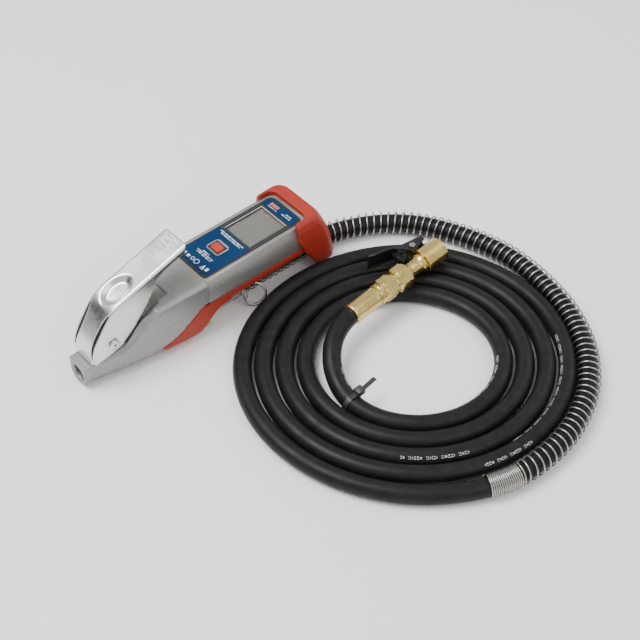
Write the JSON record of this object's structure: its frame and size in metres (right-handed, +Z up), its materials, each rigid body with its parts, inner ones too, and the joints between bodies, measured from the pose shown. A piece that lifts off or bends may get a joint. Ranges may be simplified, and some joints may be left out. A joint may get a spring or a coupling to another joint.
{
  "type": "tyre inflator with gauge",
  "caption": "Hand-held tyre inflator: cast valve body with squeeze lever, digital gauge, rubber boot and bumper, wire-guarded hose in a flat coil and a brass clip-on connector.",
  "frame": {"origin": "centre of the base of the inflator body, without its hose and connector, on the surface that it lies on", "axes": "+X runs from the air inlet to the bumper, +Y to the side away from the hose coil, +Z up out of the display"},
  "size_m": [0.3003, 0.2788, 0.0796],
  "materials": {
    "cast_body": "satin die casting",
    "polished_steel": "bright polished",
    "spring_steel": "plain wire",
    "black_steel": "black satin",
    "brass": "machined",
    "red_rubber": "moulded, satin",
    "hose_rubber": "smooth extruded",
    "bezel_grey": "semi gloss",
    "label_blue": "printed film",
    "display_grey": "liquid crystal panel",
    "clear_window": "clear",
    "red_plastic": "moulded",
    "dark_plastic": "moulded",
    "board_green": "solder mask",
    "battery_sleeve": "printed sleeve"
  },
  "bodies": {
    "body": {"front_casting": "cast_body", "inlet_filter": "brass", "lever_pin": "polished_steel", "valve_spring": "spring_steel", "valve_seat": "brass", "outlet_fitting": "brass", "upper_casing": "cast_body", "lower_casing": "dark_plastic", "casing_screws": "spring_steel", "red_boot": "red_rubber", "rear_bumper": "red_rubber", "bezel": "bezel_grey", "display_window": "clear_window", "display_module": "display_grey", "front_label": "label_blue", "rear_label": "label_blue", "button_surround": "bezel_grey", "button_switch": "dark_plastic", "circuit_board": "board_green", "pressure_sensor": "spring_steel", "battery_left": "battery_sleeve", "battery_right": "battery_sleeve", "battery_contacts": "spring_steel", "hook_bail": "spring_steel", "hose_run": "hose_rubber", "hose_coil": "hose_rubber", "hose_tail": "hose_rubber", "guard_front_end": "spring_steel", "guard_rear_end": "spring_steel", "cable_tie": "dark_plastic", "hose_ferrule": "brass", "chuck_stem": "brass", "chuck_head": "brass", "clip_rivet": "spring_steel", "valve_washer": "hose_rubber"},
    "lever": {"trigger_lever": "polished_steel"},
    "plunger": {"valve_plunger": "brass"},
    "button": {"power_button": "red_plastic"},
    "ring": {"hanging_ring": "spring_steel"},
    "nut": {"swivel_nut": "brass"},
    "clip": {"clip_lever": "black_steel", "clip_spring": "brass"}
  },
  "joints": [
    {"name": "lever_squeeze", "type": "hinge", "parent": "body", "child": "lever", "pos_m": [-0.0797, 0, 0.0312], "axis": [0, 1, 0], "range_deg": [0, 6], "stiffness_Nm_per_rad": 0.6, "springref_deg": -6.88},
    {"name": "plunger_slide", "type": "slide", "parent": "body", "child": "plunger", "axis": [0, 0, -1], "range_m": [0, 0.0021], "deforming": ["valve_spring"]},
    {"name": "button_press", "type": "slide", "parent": "body", "child": "button", "axis": [0, 0, -1], "range_m": [0, 0.001], "stiffness_N_per_m": 600, "springref_m": -0.001},
    {"name": "ring_swing", "type": "hinge", "parent": "body", "child": "ring", "pos_m": [0.03275, -0.01527, 0.01555], "axis": [-0.866, 0.5, 0], "range_deg": [0, 3]},
    {"name": "nut_spin", "type": "hinge", "parent": "body", "child": "nut", "pos_m": [0.0592, -0.0867, 0.0217], "axis": [0.9972, 0.075, 0], "continuous": true},
    {"name": "clip_press", "type": "hinge", "parent": "body", "child": "clip", "pos_m": [0.13163, -0.06972, 0.0217], "axis": [0, 0, 1], "range_deg": [0, 10], "stiffness_Nm_per_rad": 0.1, "springref_deg": -8.59}
  ],
  "couplings": [
    {"joint": "plunger_slide", "follows": "lever_squeeze", "m_per_rad": 0.02}
  ]
}
